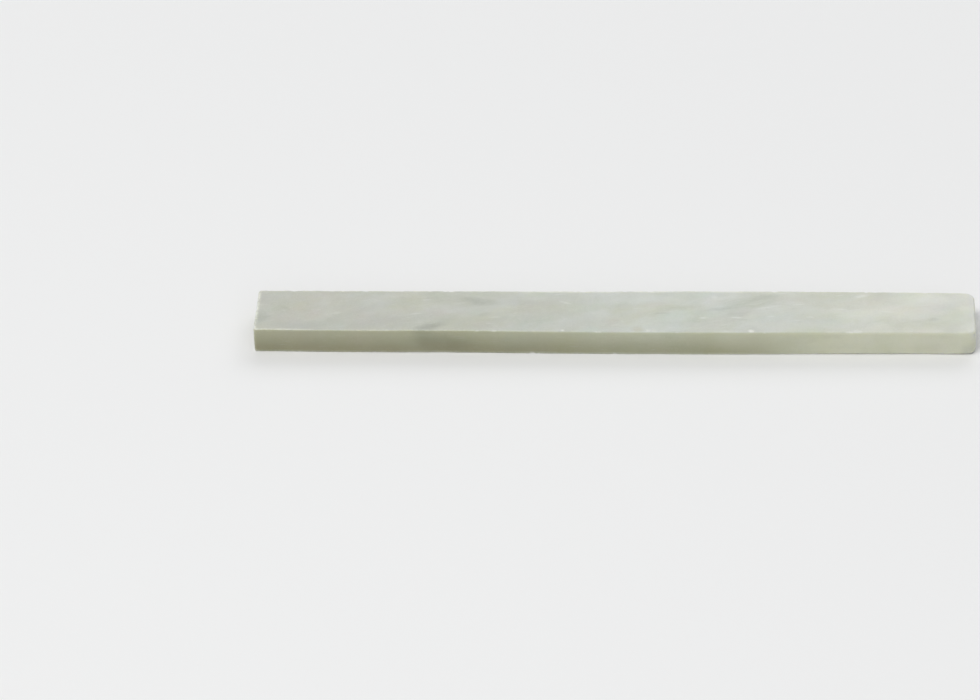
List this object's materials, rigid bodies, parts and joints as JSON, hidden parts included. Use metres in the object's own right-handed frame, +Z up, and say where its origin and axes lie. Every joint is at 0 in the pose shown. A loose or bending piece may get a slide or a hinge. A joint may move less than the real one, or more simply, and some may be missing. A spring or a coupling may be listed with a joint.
{
  "type": "flat marking chalk",
  "caption": "Flat rectangular bar of natural soapstone with worn arrises, a squarer end and a rounder end, used as marking chalk.",
  "frame": {"origin": "centre of the lower broad face", "axes": "+X along the length towards the rounder end, +Y across the width, +Z up through the thickness"},
  "size_m": [0.127, 0.0126, 0.0047],
  "materials": {
    "soapstone": "pale grey-green natural soapstone, fine sawn and rubbed smooth, matt with a soft waxy sheen"
  },
  "bodies": {
    "root": {"chalk_bar": "soapstone"}
  },
  "joints": []
}
